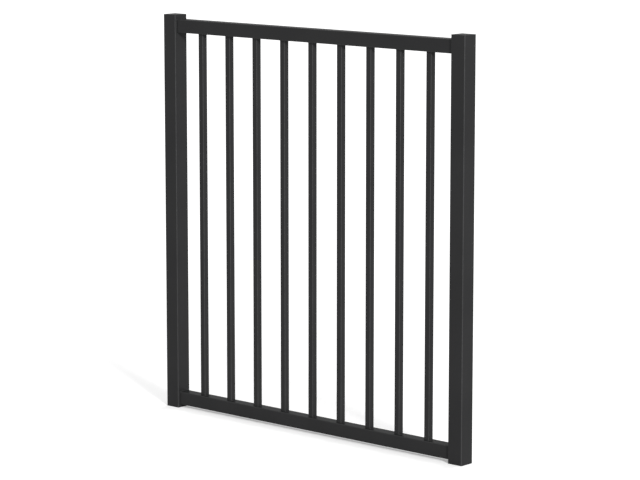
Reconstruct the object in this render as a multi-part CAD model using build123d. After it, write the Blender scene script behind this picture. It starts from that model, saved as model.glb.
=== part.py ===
from build123d import *
import math
import os

# Pedestrian gate leaf of welded tube: two stiles, two rails and a row of square pickets.
# Millimetres. X runs along the leaf from the hinge side to the latch side, Y from front to back, Z up.
# The origin is at mid-height on the outer face of the hinge stile, in the middle of the leaf's thickness.

# Overall leaf
gate_width = 1204.0
gate_height = 1244.0

# Stiles, the square end uprights
stile_size = 50.8
stile_wall = 2.0
stile_radius = 2.6

# Plates that close the stiles at the top and at the foot
cap_thickness = 3.0

# Rails, set back from both faces of the stiles
rail_depth = 38.1
rail_height = 41.0
rail_wall = 2.0
rail_radius = 2.4

# How far the stiles stand above the top rail and below the bottom rail
top_rise = 14.5
foot_rise = 10.0

# Pickets, the square bars between the rails
picket_size = 19.05
picket_wall = 1.5
picket_radius = 2.0

# Clear gap from each stile to the picket beside it, and the widest gap allowed between pickets
end_gap = 84.5
most_clear_gap = 101.6

# Fit of the pickets in the punched rails
hole_clearance = 0.25
picket_top_gap = 0.8

# Places that follow from the sizes
foot_level = -gate_height / 2
top_level = gate_height / 2
rail_length = gate_width - 2 * stile_size
top_rail_top = top_level - top_rise
bottom_rail_foot = foot_level + foot_rise
picket_foot = bottom_rail_foot + rail_wall
picket_length = top_rail_top - rail_wall - picket_top_gap - picket_foot

# The pickets share the width evenly, with as few as keep every gap within the limit
picket_span = rail_length - 2 * end_gap
picket_count = math.ceil((picket_span + most_clear_gap) / (picket_size + most_clear_gap))
picket_pitch = (picket_span - picket_size) / (picket_count - 1)
first_picket = stile_size + end_gap + picket_size / 2
picket_places = [first_picket + i * picket_pitch for i in range(picket_count)]


def outline(width, depth, radius):
    """A rectangle with round corners, or plain ones where the radius runs out."""
    if radius <= 0:
        return Rectangle(width, depth)
    return RectangleRounded(width, depth, radius)


def tube(width, depth, radius, wall, length, plane):
    """A length of rectangular tube that starts on the plane and runs along its normal."""
    outer = extrude(plane * outline(width, depth, radius), length)
    inner = outline(width - 2 * wall, depth - 2 * wall, radius - wall)
    return outer - extrude(plane * inner, length)


def stile(middle):
    """An end upright, without the plates that close it."""
    length = gate_height - 2 * cap_thickness
    upright = tube(stile_size, stile_size, stile_radius, stile_wall, length, Plane.XY)
    return Pos(middle, 0, foot_level + cap_thickness) * upright


def cap(middle, level):
    """A plate flush with the outside of the stile, with its underside at the given level."""
    plate = extrude(outline(stile_size, stile_size, stile_radius), cap_thickness)
    return Pos(middle, 0, level) * plate


def rail(foot, hole_start):
    """A rail between the stiles, with a square hole for each picket punched through one wall."""
    level = foot + rail_height / 2
    bar = tube(rail_depth, rail_height, rail_radius, rail_wall, rail_length, Plane.YZ)
    bar = Pos(stile_size, 0, level) * bar
    hole_size = picket_size + 2 * hole_clearance
    hole = extrude(outline(hole_size, hole_size, picket_radius + hole_clearance), rail_height)
    for place in picket_places:
        bar -= Pos(place, 0, hole_start) * hole
    return bar


def picket(place):
    """A square bar that stands on the floor of the bottom rail and ends just under the top rail's roof."""
    bar = tube(picket_size, picket_size, picket_radius, picket_wall, picket_length, Plane.XY)
    return Pos(place, 0, picket_foot) * bar


# Each hole is cut over one rail height that starts or ends at the middle of its rail
top_rail_foot = top_rail_top - rail_height
top_hole_start = top_rail_foot - rail_height / 2
bottom_hole_start = bottom_rail_foot + rail_height / 2

pieces = {
    "top_rail": rail(top_rail_foot, top_hole_start),
    "bottom_rail": rail(bottom_rail_foot, bottom_hole_start),
}
for side, middle in (("hinge", stile_size / 2), ("latch", gate_width - stile_size / 2)):
    pieces[f"{side}_stile"] = stile(middle)
    pieces[f"{side}_stile_top_cap"] = cap(middle, top_level - cap_thickness)
    pieces[f"{side}_stile_foot_cap"] = cap(middle, foot_level)
for number, place in enumerate(picket_places, start=1):
    pieces[f"picket_{number}"] = picket(place)

os.makedirs("parts", exist_ok=True)
for name, piece in pieces.items():
    export_step(piece, f"parts/{name}.step")
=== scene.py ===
from math import cos, pi, radians, sin

import bmesh
import bpy
from mathutils import Matrix, Vector


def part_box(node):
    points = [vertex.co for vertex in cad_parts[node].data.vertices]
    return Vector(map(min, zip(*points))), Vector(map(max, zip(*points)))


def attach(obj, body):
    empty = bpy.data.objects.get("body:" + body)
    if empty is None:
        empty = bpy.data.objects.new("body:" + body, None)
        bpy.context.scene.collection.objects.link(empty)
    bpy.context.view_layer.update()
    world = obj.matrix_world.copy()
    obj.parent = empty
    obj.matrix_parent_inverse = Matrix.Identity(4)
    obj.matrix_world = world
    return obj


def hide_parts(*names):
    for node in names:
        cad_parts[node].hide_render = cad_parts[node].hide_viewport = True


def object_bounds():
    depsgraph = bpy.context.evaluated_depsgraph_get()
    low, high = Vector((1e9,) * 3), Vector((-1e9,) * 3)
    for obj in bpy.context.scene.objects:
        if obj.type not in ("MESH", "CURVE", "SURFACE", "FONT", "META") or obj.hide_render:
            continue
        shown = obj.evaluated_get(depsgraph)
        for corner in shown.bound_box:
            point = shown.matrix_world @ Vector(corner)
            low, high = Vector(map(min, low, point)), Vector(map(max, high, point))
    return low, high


# Pedestrian gate leaf: every tube with its real wall and rounding, its coated welds, and the studio.
# Metres, in the frame of the solids: X along the leaf, Y from front to back, Z up.
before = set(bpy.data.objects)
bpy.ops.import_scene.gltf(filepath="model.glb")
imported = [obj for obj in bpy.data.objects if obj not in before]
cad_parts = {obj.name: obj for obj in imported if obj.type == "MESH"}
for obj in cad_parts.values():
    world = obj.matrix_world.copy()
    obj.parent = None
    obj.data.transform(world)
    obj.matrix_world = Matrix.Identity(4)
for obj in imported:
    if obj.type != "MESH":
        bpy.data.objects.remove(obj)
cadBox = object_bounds()
mm = 0.001
scene = bpy.context.scene
print("frame loaded with", len(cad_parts), "nodes")


# Helpers for node trees and pieces

def addNode(tree, kind, inputs=None, **settings):
    # an input that is given a socket is linked to it, and any other input gets its value
    made = tree.nodes.new(kind)
    for key, value in settings.items():
        setattr(made, key, value)
    for key, value in (inputs or {}).items():
        socket = made.inputs[key]
        if isinstance(value, bpy.types.NodeSocket):
            tree.links.new(value, socket)
        else:
            socket.default_value = value
    return made


def mathsIn(tree):
    # a short way to write maths nodes in one tree
    def maths(operation, *values):
        return addNode(tree, "ShaderNodeMath", dict(enumerate(values)), operation=operation).outputs[0]

    return maths


def openTree(name, kind, inputs, outputs):
    # a new group with its named sockets, and what its input node gives
    tree = bpy.data.node_groups.new(name, kind)
    for way, sockets in (("INPUT", inputs), ("OUTPUT", outputs)):
        for label, socketKind in sockets.items():
            tree.interface.new_socket(name=label, in_out=way, socket_type=f"NodeSocket{socketKind}")
    return tree, addNode(tree, "NodeGroupInput").outputs


def runTree(tree, mesh, values):
    # runs a geometry tree on a mesh and gives back a plain mesh
    carrier = bpy.data.objects.new("carrier", mesh)
    scene.collection.objects.link(carrier)
    modifier = carrier.modifiers.new(tree.name, "NODES")
    modifier.node_group = tree
    for item in tree.interface.items_tree:
        if item.in_out == "INPUT" and item.name in values:
            modifier[item.identifier] = values[item.name]
    bpy.context.view_layer.update()
    graph = bpy.context.evaluated_depsgraph_get()
    result = bpy.data.meshes.new_from_object(carrier.evaluated_get(graph), depsgraph=graph)
    bpy.data.objects.remove(carrier)
    return result


def addPiece(name, mesh, nodes=()):
    # a finished piece: its place is in its mesh, and it rides with the leaf
    mesh.name = name
    piece = bpy.data.objects.new(name, mesh)
    scene.collection.objects.link(piece)
    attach(piece, "root")
    if nodes:
        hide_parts(*nodes)


# Powder coat: one shared group, placed in each material with its own values

coatInputs = {
    "Colour": "Color",
    "Colour Shift": "Float",
    "Roughness": "Float",
    "Roughness Shift": "Float",
    "Peel Size": "Float",
    "Peel Depth": "Float",
    "Grain Size": "Float",
    "Grain Depth": "Float",
    "Draw Scale": "Vector",
    "Draw Depth": "Float",
    "Edge": "Float",
    "Edge Wear And Highlight Lift": "Float",
    "Edge Dulling": "Float",
}
coatOutputs = {"Colour": "Color", "Roughness": "Float", "Normal": "Vector"}

# how often each pattern comes in a metre, its detail, and how strongly it tells
patterns = {
    "cloud": {"scale": 7.0, "detail": 3.0, "share": 1.3},  # slow clouds over a hand's width
    "speckle": {"scale": 1400.0, "detail": 1.0, "share": 0.7},  # the powder's own fine speckle
    "film": {"scale": 45.0, "detail": 2.0, "share": 0.9},  # where the film is thinner along an edge, which also breaks up the painted edge highlight
    "nicks": {"scale": 420.0, "detail": 3.0, "share": 0.9},  # scuffs from handling, which also break up the painted edge highlight
}
leastWearAndHighlight = 0.1  # the part of the edge wear and painted edge highlight that is even
reliefDetail = {"Peel": 1.5, "Grain": 1.0, "Draw": 2.0}


def makeCoatGroup():
    tree, given = openTree("powderCoat", "ShaderNodeTree", coatInputs, coatOutputs)
    maths = mathsIn(tree)
    place = addNode(tree, "ShaderNodeTexCoord").outputs["Object"]

    def noise(vector, scale, detail):
        made = addNode(tree, "ShaderNodeTexNoise", {"Vector": vector, "Scale": scale, "Detail": detail})
        return made.outputs["Fac"]

    fields = {name: noise(place, values["scale"], values["detail"]) for name, values in patterns.items()}

    def addShare(name, rest):
        return maths("MULTIPLY_ADD", fields[name], patterns[name]["share"], rest)

    # clouds and speckle sway the colour evenly about its middle
    middle = -(patterns["cloud"]["share"] + patterns["speckle"]["share"]) / 2
    mixed = addShare("cloud", addShare("speckle", middle))
    gain = maths("MULTIPLY_ADD", mixed, given["Colour Shift"], 1.0)

    # the rounded edges, where the film is thinner and handling has scuffed it, unevenly; the colour is lifted
    # there, partly for that wear and partly as a painted highlight along the corners
    unevenWearAndHighlight = addShare("film", addShare("nicks", leastWearAndHighlight))
    wearAndHighlightMask = maths("MULTIPLY", given["Edge"], unevenWearAndHighlight)
    gainWithEdgeHighlight = maths("MULTIPLY", gain, maths("MULTIPLY_ADD", wearAndHighlightMask, given["Edge Wear And Highlight Lift"], 1.0))
    tinted = addNode(tree, "ShaderNodeVectorMath", {0: given["Colour"], "Scale": gainWithEdgeHighlight}, operation="SCALE")

    # the gloss varies with the clouds and the film's thickness
    sway = maths("ADD", fields["cloud"], fields["film"])
    dulled = maths("MULTIPLY_ADD", sway, given["Roughness Shift"], given["Roughness"])
    evened = maths("SUBTRACT", dulled, given["Roughness Shift"])
    rough = maths("MULTIPLY_ADD", wearAndHighlightMask, given["Edge Dulling"], evened)

    # orange peel of the cured powder, its fine grain, and faint lines along the tube from its rolling
    def relief(name):
        scale = maths("DIVIDE", 1.0, given[f"{name} Size"])
        return maths("MULTIPLY", noise(place, scale, reliefDetail[name]), given[f"{name} Depth"])

    drawn = addNode(tree, "ShaderNodeVectorMath", {0: place, 1: given["Draw Scale"]}, operation="MULTIPLY")
    lines = maths("MULTIPLY", noise(drawn.outputs[0], 1.0, reliefDetail["Draw"]), given["Draw Depth"])
    height = maths("ADD", maths("ADD", relief("Peel"), relief("Grain")), lines)
    bump = addNode(tree, "ShaderNodeBump", {"Strength": 1.0, "Distance": 1.0, "Height": height})
    results = {"Colour": tinted.outputs[0], "Roughness": rough, "Normal": bump.outputs[0]}
    addNode(tree, "NodeGroupOutput", results)
    return tree


coatGroup = makeCoatGroup()

grey = 0.0262  # scene linear
coat = {
    "Colour": (grey, grey, grey * 1.02, 1),
    "Colour Shift": 0.22,
    "Roughness": 0.3,
    "Roughness Shift": 0.06,
    "Peel Size": 2.6 * mm,
    "Peel Depth": 0.07 * mm,
    "Grain Size": 0.45 * mm,
    "Grain Depth": 0.03 * mm,
    "Draw Scale": (60, 60, 60),
    "Draw Depth": 0.02 * mm,
    # how much lighter the rounded edges are painted: partly worn film, partly a painted highlight
    "Edge Wear And Highlight Lift": 0.62,
    "Edge Dulling": 0.1,
}
gloss = {
    "flake": 0.4,  # share of the finish that shines as metal does
    "grazing": 0.62,  # how much of its shine is left at a flat angle
}

# the rolled lines are long one way and close together the other two
alongZ = (330, 330, 4)
alongX = (4, 330, 330)


def makeCoat(name, changes):
    material = bpy.data.materials.new(name)
    material.use_nodes = True
    tree = material.node_tree
    shader = tree.nodes["Principled BSDF"]
    # the edge mark from the mesh lifts the colour on rounded edges: partly wear, partly a painted highlight
    edge = addNode(tree, "ShaderNodeAttribute", attribute_name="edgeWearAndHighlight").outputs["Fac"]
    group = addNode(tree, "ShaderNodeGroup", node_tree=coatGroup)
    tree.links.new(edge, group.inputs["Edge"])
    for key, value in {**coat, **changes}.items():
        group.inputs[key].default_value = value
    tree.links.new(group.outputs["Colour"], shader.inputs["Base Color"])
    tree.links.new(group.outputs["Roughness"], shader.inputs["Roughness"])
    tree.links.new(group.outputs["Normal"], shader.inputs["Normal"])
    shader.inputs["Metallic"].default_value = gloss["flake"]
    shader.inputs["Specular Tint"].default_value = (gloss["grazing"],) * 3 + (1,)
    shader.inputs["Specular IOR Level"].default_value = 0.0
    return material


stileCoat = makeCoat("stileCoat", {"Draw Scale": alongZ})
railCoat = makeCoat("railCoat", {"Draw Scale": alongX})
picketCoat = makeCoat("picketCoat", {"Draw Scale": alongZ, "Peel Size": 2.2 * mm})
capCoat = makeCoat("capCoat", {"Roughness": 0.31})
weldCoat = makeCoat("weldCoat", {"Roughness": 0.33, "Peel Size": 1.6 * mm})
print("coats made")


# Outlines and swept tubes

def roundedOutline(width, depth, radius, steps, support):
    # a rectangle with round corners, anticlockwise: its points, and how far round the corner each one is,
    # from 0 on the flats to 1 in the middle of the rounding
    # a point just beyond each rounding, by the support's length, keeps the flat flat
    points = []
    for corner in range(4):
        signX = 1 if corner in (0, 3) else -1
        signY = 1 if corner in (0, 1) else -1
        centre = Vector((signX * (width / 2 - radius), signY * (depth / 2 - radius)))
        for step in range(-1, steps + 2):
            within = min(max(step, 0), steps)
            angle = (corner + within / steps) * pi / 2
            outward = Vector((cos(angle), sin(angle)))
            onward = Vector((-sin(angle), cos(angle)))
            point = centre + outward * radius + onward * support * (step - within)
            points.append((point, sin(within / steps * pi)))
    return points


def addRing(work, outline, height, wearAndHighlight=0.0):
    # each point carries how much edge wear and painted edge highlight it gets
    layer = work.verts.layers.float.get("edgeWearAndHighlight") or work.verts.layers.float.new("edgeWearAndHighlight")
    ring = []
    for point, rounding in outline:
        vert = work.verts.new((point.x, point.y, height))
        vert[layer] = max(rounding, wearAndHighlight)
        ring.append(vert)
    return ring


def joinRings(work, first, second):
    count = len(first)
    for i in range(count):
        j = (i + 1) % count
        work.faces.new((first[i], first[j], second[j], second[i]))


def faceOutwards(work, sharpAngle=radians(40)):
    # points every face outwards, smooth but for the real edges
    bmesh.ops.recalc_face_normals(work, faces=work.faces)
    for face in work.faces:
        face.smooth = True
    for edge in work.edges:
        edge.smooth = edge.calc_face_angle(0) < sharpAngle


def finishMesh(work, name, move, material):
    faceOutwards(work)
    bmesh.ops.transform(work, matrix=move, verts=work.verts)
    mesh = bpy.data.meshes.new(name)
    work.to_mesh(mesh)
    work.free()
    mesh.materials.append(material)
    return mesh


def refineMesh(mesh):
    # the same for a mesh that a tree gave back, which is in its place
    work = bmesh.new()
    work.from_mesh(mesh)
    faceOutwards(work)
    work.to_mesh(mesh)
    work.free()
    return mesh


def makeTube(name, width, depth, length, sizes, move, material):
    # a hollow tube with both walls and its cut ends, along Z from zero
    work = bmesh.new()
    wall = sizes["wall"]
    radius = sizes["radius"]
    fineness = (sizes["steps"], sizes["support"])
    outer = roundedOutline(width, depth, radius, *fineness)
    inner = roundedOutline(width - 2 * wall, depth - 2 * wall, radius - wall, *fineness)
    loops = ((outer, 0), (outer, length), (inner, length), (inner, 0))
    rings = [addRing(work, outline, height) for outline, height in loops]
    for first, second in zip(rings, rings[1:] + rings[:1]):
        joinRings(work, first, second)
    return finishMesh(work, name, move, material)


def makePlate(name, width, thickness, sizes, move, material):
    # a square plate from z = 0 up, with its upper edges eased
    work = bmesh.new()
    ease = sizes["ease"]
    support = sizes["support"]
    levels = [(0, 0, 0), (0, thickness - ease - support, 0)]
    # each level of the eased edge carries its share of edge wear and painted highlight, most in the middle of
    # the rounding
    for step in range(sizes["easeSteps"] + 1):
        share = step / sizes["easeSteps"]
        angle = share * pi / 2
        levels.append((ease * (1 - cos(angle)), thickness - ease * (1 - sin(angle)), sin(share * pi)))
    levels.append((ease + support, thickness, 0))
    rings = []
    for inset, height, wearAndHighlight in levels:
        side = width - 2 * inset
        outline = roundedOutline(side, side, sizes["radius"] - inset, sizes["steps"], support)
        if height == thickness:
            outline = [(point, 0) for point, rounding in outline]  # the top's flat gets no edge wear or painted edge highlight
        rings.append(addRing(work, outline, height, wearAndHighlight))
    for first, second in zip(rings, rings[1:]):
        joinRings(work, first, second)
    work.faces.new(rings[0][::-1])
    work.faces.new(rings[-1])
    return finishMesh(work, name, move, material)


# Stiles: square tube, closed at both ends by a plate with eased edges

stile = {"radius": 2.6 * mm, "wall": 2.0 * mm, "steps": 8, "support": 0.4 * mm}
plate = {"radius": 2.6 * mm, "ease": 0.6 * mm, "easeSteps": 4, "steps": 8, "support": 0.4 * mm}


def makeStile(side):
    low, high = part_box(f"{side}_stile")
    middle = (low + high) / 2
    size = high - low
    move = Matrix.Translation((middle.x, middle.y, low.z))
    tube = makeTube(f"{side}Stile", size.x, size.y, size.z, stile, move, stileCoat)
    addPiece(f"{side}Stile", tube, [f"{side}_stile"])


def makeCap(side, end):
    # at the foot the plate is turned over, so that its eased edges are outside there too
    node = f"{side}_stile_{end.lower()}_cap"
    low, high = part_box(node)
    middle = (low + high) / 2
    level, turn = (low.z, 0) if end == "Top" else (high.z, pi)
    move = Matrix.Translation((middle.x, middle.y, level)) @ Matrix.Rotation(turn, 4, "X")
    mesh = makePlate(f"{side}{end}Cap", high.x - low.x, high.z - low.z, plate, move, capCoat)
    addPiece(f"{side}{end}Cap", mesh, [node])


for side in ("hinge", "latch"):
    makeStile(side)
    makeCap(side, "Top")
    makeCap(side, "Foot")
print("stiles and caps made")


# What repeats stands in a row: a shared tree sets copies along a line and makes them real

rowInputs = {"Turn": "Rotation", "First Place": "Vector", "Pitch": "Vector", "Count": "Int"}
geometryOut = {"Geometry": "Geometry"}


def makeRowTree():
    inputs = {"Instance": "Geometry", **rowInputs}
    tree, given = openTree("rowOfCopies", "GeometryNodeTree", inputs, geometryOut)
    line = addNode(
        tree,
        "GeometryNodeMeshLine",
        {"Count": given["Count"], "Start Location": given["First Place"], "Offset": given["Pitch"]},
        mode="OFFSET",
    )
    placed = addNode(
        tree,
        "GeometryNodeInstanceOnPoints",
        {"Points": line.outputs[0], "Instance": given["Instance"], "Rotation": given["Turn"]},
    )
    real = addNode(tree, "GeometryNodeRealizeInstances", {"Geometry": placed.outputs[0]})
    addNode(tree, "NodeGroupOutput", {"Geometry": real.outputs[0]})
    return tree


rowTree = makeRowTree()


def addRow(tree, instance, given):
    # the shared row inside another tree, fed from that tree's own inputs
    row = addNode(tree, "GeometryNodeGroup", node_tree=rowTree)
    tree.links.new(instance, row.inputs["Instance"])
    for name in rowInputs:
        tree.links.new(given[name], row.inputs[name])
    return row.outputs[0]


def closeTree(tree, geometry, material):
    # the end of every tree that makes a piece: its coat, and the way out
    painted = addNode(tree, "GeometryNodeSetMaterial", {"Geometry": geometry, "Material": material})
    addNode(tree, "NodeGroupOutput", {"Geometry": painted.outputs[0]})
    return tree


# Pickets: square tubes between the rails, all alike and evenly spaced

picket = {"radius": 2.0 * mm, "wall": 1.5 * mm, "steps": 7, "support": 0.3 * mm}
picketInputs = {"Picket": "Geometry", **rowInputs, "Material": "Material"}

picketNodes = [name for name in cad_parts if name.startswith("picket_")]
picketNodes.sort(key=lambda name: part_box(name)[0].x)
picketLow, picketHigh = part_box(picketNodes[0])
picketSize = picketHigh - picketLow
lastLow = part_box(picketNodes[-1])[0]
midDepth = (picketLow.y + picketHigh.y) / 2
picketRow = {
    "Pitch": Vector(((lastLow.x - picketLow.x) / (len(picketNodes) - 1), 0, 0)),
    "Count": len(picketNodes),
}


def rowAt(level):
    # the places of a row in step with the pickets, at the given level
    firstPlace = ((picketLow.x + picketHigh.x) / 2, midDepth, level)
    return {"First Place": firstPlace, **picketRow}


def makePicketTree():
    tree, given = openTree("picketRow", "GeometryNodeTree", picketInputs, geometryOut)
    return closeTree(tree, addRow(tree, given["Picket"], given), given["Material"])


def makePickets():
    size = picketSize
    onePicket = makeTube("onePicket", size.x, size.y, size.z, picket, Matrix.Identity(4), picketCoat)
    row = {**rowAt(picketLow.z), "Material": picketCoat}
    addPiece("pickets", runTree(makePicketTree(), onePicket, row), picketNodes)


makePickets()
print(picketRow["Count"], "pickets made, pitch", round(picketRow["Pitch"].x / mm, 2), "mm")


# Rails: tube with the row of square holes punched through the wall that faces the pickets

rail = {"radius": 2.4 * mm, "wall": 2.0 * mm, "steps": 8, "support": 0.4 * mm}
hole = {"clearance": 0.25 * mm, "depth": 6 * mm, "steps": 6}  # the punch reaches past both sides of the wall
punchInputs = {
    "Rail": "Geometry",
    "Hole Size": "Float",
    "Hole Radius": "Float",
    "Hole Depth": "Float",
    "Corner Steps": "Int",
    **rowInputs,
    "Material": "Material",
}


def roundedCurve(tree, width, depth, steps, radius):
    # a rectangle with round corners, as a closed curve
    square = addNode(tree, "GeometryNodeCurvePrimitiveQuadrilateral", {"Width": width, "Height": depth})
    rounding = {"Curve": square.outputs[0], "Count": steps, "Radius": radius}
    return addNode(tree, "GeometryNodeFilletCurve", rounding, mode="POLY").outputs[0]


def makePunchTree():
    tree, given = openTree("punchRow", "GeometryNodeTree", punchInputs, geometryOut)
    maths = mathsIn(tree)
    size = given["Hole Size"]
    rounded = roundedCurve(tree, size, size, given["Corner Steps"], given["Hole Radius"])

    # the punch is the rounded square swept through the wall
    half = maths("MULTIPLY", given["Hole Depth"], 0.5)
    top = addNode(tree, "ShaderNodeCombineXYZ", {"Z": half}).outputs[0]
    bottom = addNode(tree, "ShaderNodeCombineXYZ", {"Z": maths("MULTIPLY", half, -1.0)}).outputs[0]
    path = addNode(tree, "GeometryNodeCurvePrimitiveLine", {"Start": bottom, "End": top})
    punch = addNode(
        tree,
        "GeometryNodeCurveToMesh",
        {"Curve": path.outputs[0], "Profile Curve": rounded, "Fill Caps": True},
    )
    row = addRow(tree, punch.outputs[0], given)
    cut = addNode(tree, "GeometryNodeMeshBoolean", operation="DIFFERENCE", solver="EXACT")
    tree.links.new(given["Rail"], cut.inputs["Mesh 1"])
    tree.links.new(row, cut.inputs["Mesh 2"])
    return closeTree(tree, cut.outputs["Mesh"], given["Material"])


punchTree = makePunchTree()


def makeRail(end):
    low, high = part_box(f"{end}_rail")
    middle = (low + high) / 2
    size = high - low
    move = Matrix.Translation((low.x, middle.y, middle.z)) @ Matrix.Rotation(pi / 2, 4, "Y")
    tube = makeTube(f"{end}Tube", size.z, size.y, size.x, rail, move, railCoat)
    wallLevel = low.z + rail["wall"] / 2 if end == "top" else high.z - rail["wall"] / 2
    values = {
        "Hole Size": picketSize.x + 2 * hole["clearance"],
        "Hole Radius": picket["radius"] + hole["clearance"],
        "Hole Depth": hole["depth"],
        "Corner Steps": hole["steps"],
        **rowAt(wallLevel),
        "Material": railCoat,
    }
    addPiece(f"{end}Rail", refineMesh(runTree(punchTree, tube, values)), [f"{end}_rail"])


makeRail("top")
makeRail("bottom")
print("rails made")


# Welds: a small coated fillet round every joint, swept along the outline of the tube that meets the other

picketWeld = {
    "leg": 1.0 * mm,  # from the corner out along each tube
    "sink": 0.4 * mm,  # how deep its root lies in both tubes
    "step": 0.4 * mm,  # from one section of the mesh to the next
    "ripple": 1.1 * mm,  # from one ripple to the next
    "rippleDepth": 0.09 * mm,
    "wander": 0.2 * mm,  # how much its face swells and shrinks
}
railWeld = {
    "leg": 1.4 * mm,
    "sink": 0.5 * mm,
    "step": 0.5 * mm,
    "ripple": 1.4 * mm,
    "rippleDepth": 0.13 * mm,
    "wander": 0.3 * mm,
}
bead = {
    "hollow": 0.8,  # 1 is a straight face, and less is hollower
    "faceSteps": 10,
    "cornerSteps": 8,
    "wobbleScale": 160.0,
    "wobbleDetail": 1.0,
    "drift": 2.5,  # how many ripples the wobble moves them along
    "trough": 0.6,  # the part of a ripple's height that lies under the plain bead
}
weldInputs = {
    "Profile": "Geometry",
    "Width": "Float",
    "Depth": "Float",
    "Corner Radius": "Float",
    "Step": "Float",
    "Ripple": "Float",
    "Ripple Depth": "Float",
    "Wander": "Float",
    "Seed": "Float",
    **rowInputs,
    "Material": "Material",
}


def makeWeldProfile(sizes):
    # the fillet's section: X leaves the standing tube and -Y leaves the other, and the root is sunk in both
    leg = sizes["leg"]
    sink = sizes["sink"]
    power = 2 / bead["hollow"]
    points = [(-sink, sink), (leg, sink)]
    for step in range(bead["faceSteps"] + 1):
        angle = step / bead["faceSteps"] * pi / 2
        points.append((leg * max(cos(angle), 0) ** power, -leg * sin(angle) ** power))
    points.append((-sink, -leg))
    mesh = bpy.data.meshes.new("weldProfile")
    edges = [(i, (i + 1) % len(points)) for i in range(len(points))]
    mesh.from_pydata([(x, y, 0) for x, y in points], edges, [])
    return mesh


def makeWeldTree():
    tree, given = openTree("weldRow", "GeometryNodeTree", weldInputs, geometryOut)
    maths = mathsIn(tree)

    # the path is the outline of the tube, and it remembers how many ripples lie behind each point
    corner = (bead["cornerSteps"], given["Corner Radius"])
    outline = roundedCurve(tree, given["Width"], given["Depth"], *corner)
    evenly = {"Curve": outline, "Length": given["Step"]}
    path = addNode(tree, "GeometryNodeResampleCurve", evenly, mode="LENGTH").outputs[0]
    along = addNode(tree, "GeometryNodeSplineParameter").outputs["Length"]
    counted = addNode(
        tree,
        "GeometryNodeStoreNamedAttribute",
        {"Geometry": path, "Name": "rippleCount", "Value": maths("DIVIDE", along, given["Ripple"])},
        data_type="FLOAT",
        domain="POINT",
    ).outputs[0]
    section = addNode(tree, "GeometryNodeMeshToCurve", {"Mesh": given["Profile"]}).outputs[0]
    swept = addNode(tree, "GeometryNodeCurveToMesh", {"Curve": counted, "Profile Curve": section})
    row = addRow(tree, swept.outputs[0], given)

    # the bead swells and shrinks a little, and each drop of the weld pool leaves a ripple
    where = addNode(tree, "GeometryNodeInputPosition").outputs[0]
    wobble = addNode(
        tree,
        "ShaderNodeTexNoise",
        {"Vector": where, "W": given["Seed"], "Scale": bead["wobbleScale"], "Detail": bead["wobbleDetail"]},
        noise_dimensions="4D",
    ).outputs["Fac"]
    ripples = addNode(
        tree, "GeometryNodeInputNamedAttribute", {"Name": "rippleCount"}, data_type="FLOAT"
    ).outputs[0]
    angle = maths("MULTIPLY", maths("MULTIPLY_ADD", wobble, bead["drift"], ripples), pi)
    hump = maths("ABSOLUTE", maths("SINE", angle))
    ripple = maths("MULTIPLY", maths("SUBTRACT", hump, bead["trough"]), given["Ripple Depth"])
    swell = maths("MULTIPLY_ADD", maths("SUBTRACT", wobble, 0.5), given["Wander"], ripple)
    outward = addNode(tree, "GeometryNodeInputNormal").outputs[0]
    push = addNode(tree, "ShaderNodeVectorMath", {0: outward, "Scale": swell}, operation="SCALE")
    shaped = addNode(tree, "GeometryNodeSetPosition", {"Geometry": row, "Offset": push.outputs[0]})
    return closeTree(tree, shaped.outputs[0], given["Material"])


weldTree = makeWeldTree()
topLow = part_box("top_rail")[0]
bottomLow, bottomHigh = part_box("bottom_rail")


def makeWelds(name, sizes, width, depth, radius, row):
    values = {
        "Width": width,
        "Depth": depth,
        "Corner Radius": radius,
        "Step": sizes["step"],
        "Ripple": sizes["ripple"],
        "Ripple Depth": sizes["rippleDepth"],
        "Wander": sizes["wander"],
        "Material": weldCoat,
        **row,
    }
    addPiece(name, refineMesh(runTree(weldTree, makeWeldProfile(sizes), values)))


def makePicketWelds(name, level, turn, seed):
    row = {**rowAt(level), "Turn": (turn, 0.0, 0.0), "Seed": seed}
    makeWelds(name, picketWeld, picketSize.x, picketSize.x, picket["radius"], row)


def makeRailWelds(name, x, turn, seed):
    # the ends of both rails on one stile
    size = bottomHigh - bottomLow
    row = {
        "Turn": (0.0, turn, 0.0),
        "First Place": (x, midDepth, (bottomLow.z + bottomHigh.z) / 2),
        "Pitch": (0, 0, topLow.z - bottomLow.z),
        "Count": 2,  # the bottom rail's end and the top rail's
        "Seed": seed,
    }
    makeWelds(name, railWeld, size.z, size.y, rail["radius"], row)


makePicketWelds("picketFootWelds", bottomHigh.z, turn=0.0, seed=3.0)
makePicketWelds("picketHeadWelds", topLow.z, turn=pi, seed=7.0)
makeRailWelds("hingeEndWelds", bottomLow.x, turn=pi / 2, seed=11.0)
makeRailWelds("latchEndWelds", bottomHigh.x, turn=-pi / 2, seed=17.0)
print("welds made")


# Studio: a pale floor, a white surround that metal shows too, and soft lamps

studio = {
    "surround": 1.0,  # what the camera and a gloss see
    "ambient": 0.6,  # what lights the leaf from all round
    "floorColour": 0.8,
    "floorShade": 0.98,  # how much of that colour the darkest fibre has
    "floorFibre": 3.0,
    "floorFibreDetail": 4.0,
    "floorRoughness": 0.95,
    "floorGlow": 0.3,  # lifts the paper to white, and leaves the leaf's shadow on it
    "floorGap": 0.2 * mm,  # under the leaf's feet
    "floorReach": 60.0,
}


def seenDirectly(tree):
    # 1 for rays from the camera, from a gloss or through glass, and 0 for what lights the leaf
    maths = mathsIn(tree)
    path = addNode(tree, "ShaderNodeLightPath").outputs
    both = maths("MAXIMUM", path["Is Camera Ray"], path["Is Glossy Ray"])
    return maths("MAXIMUM", both, path["Is Transmission Ray"])


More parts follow.
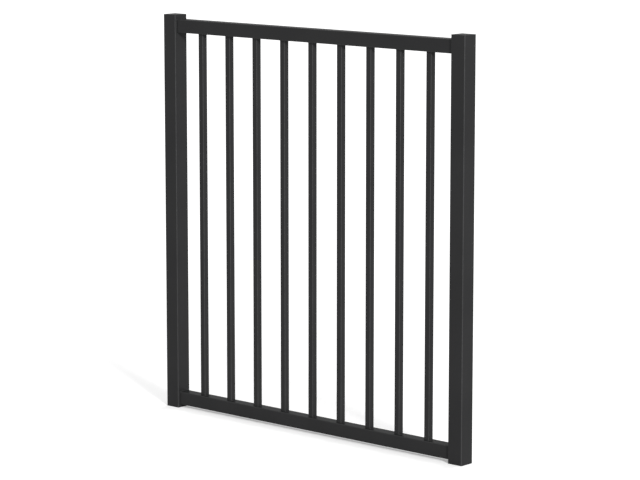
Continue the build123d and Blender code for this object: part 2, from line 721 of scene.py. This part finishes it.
def makeWorld():
    world = bpy.data.worlds.new("surround")
    world.use_nodes = True
    scene.world = world
    tree = world.node_tree
    back = tree.nodes["Background"]
    back.inputs["Color"].default_value = (1, 1, 1, 1)
    limits = {"To Min": studio["ambient"], "To Max": studio["surround"]}
    strength = addNode(tree, "ShaderNodeMapRange", {"Value": seenDirectly(tree), **limits})
    tree.links.new(strength.outputs[0], back.inputs["Strength"])


def makePaper():
    material = bpy.data.materials.new("floorPaper")
    material.use_nodes = True
    tree = material.node_tree
    shader = tree.nodes["Principled BSDF"]
    place = addNode(tree, "ShaderNodeTexCoord").outputs["Object"]
    fibre = addNode(
        tree,
        "ShaderNodeTexNoise",
        {"Vector": place, "Scale": studio["floorFibre"], "Detail": studio["floorFibreDetail"]},
    )
    colour = studio["floorColour"]
    limits = {"To Min": colour * studio["floorShade"], "To Max": colour}
    tone = addNode(tree, "ShaderNodeMapRange", {"Value": fibre.outputs["Fac"], **limits})
    tree.links.new(tone.outputs[0], shader.inputs["Base Color"])
    shader.inputs["Roughness"].default_value = studio["floorRoughness"]
    shader.inputs["Specular IOR Level"].default_value = 0.0
    shader.inputs["Emission Color"].default_value = (1, 1, 1, 1)
    maths = mathsIn(tree)
    glow = maths("MULTIPLY", seenDirectly(tree), studio["floorGlow"])
    tree.links.new(glow, shader.inputs["Emission Strength"])
    return material


def makeFloor():
    reach = studio["floorReach"]
    level = cadBox[0].z - studio["floorGap"]
    mesh = bpy.data.meshes.new("floor")
    corners = [(-reach, -reach, level), (reach, -reach, level), (reach, reach, level), (-reach, reach, level)]
    mesh.from_pydata(corners, [], [(0, 1, 2, 3)])
    mesh.materials.append(makePaper())
    floor = bpy.data.objects.new("floor", mesh)
    scene.collection.objects.link(floor)


# suns, so every tube gets the same light; turn is from the front towards the latch side, in degrees
# the key light comes from where the shade under the top rail puts it, and a soft fill from behind and above
lamps = {
    "keyLight": {"turn": 64.5, "rise": 18.3, "spread": 9, "strength": 3.8},
    "backFill": {"turn": 180, "rise": 52, "spread": 40, "strength": 0.9},
}
lampDistance = 3.0


def makeLamps(target):
    for name, values in lamps.items():
        turn = radians(values["turn"])
        rise = radians(values["rise"])
        outward = Vector((sin(turn) * cos(rise), -cos(turn) * cos(rise), sin(rise)))
        light = bpy.data.lights.new(name, "SUN")
        light.energy = values["strength"]
        light.angle = radians(values["spread"])
        lamp = bpy.data.objects.new(name, light)
        lamp.location = target + outward * lampDistance
        lamp.rotation_euler = outward.to_track_quat("Z", "Y").to_euler()
        scene.collection.objects.link(lamp)


makeWorld()
makeFloor()
makeLamps((cadBox[0] + cadBox[1]) / 2)
print("studio lit")


# Camera, from the right of the front and a little above, found by fitting the photo's edges

view = {
    "place": (5.9506, -5.8923, 1.2410),
    "yaw": 42.069,
    "tilt": 9.061,
    "lens": 150.856,
    "sensor": 36.0,
    "farthest": 200,
}


def makeCamera():
    lens = bpy.data.cameras.new("camera")
    lens.lens = view["lens"]
    lens.sensor_width = view["sensor"]
    lens.clip_end = view["farthest"]
    camera = bpy.data.objects.new("camera", lens)
    camera.location = view["place"]
    camera.rotation_euler = (radians(90 - view["tilt"]), 0, radians(view["yaw"]))
    scene.collection.objects.link(camera)
    scene.camera = camera


makeCamera()
scene.view_settings.view_transform = "Standard"
print("camera placed")
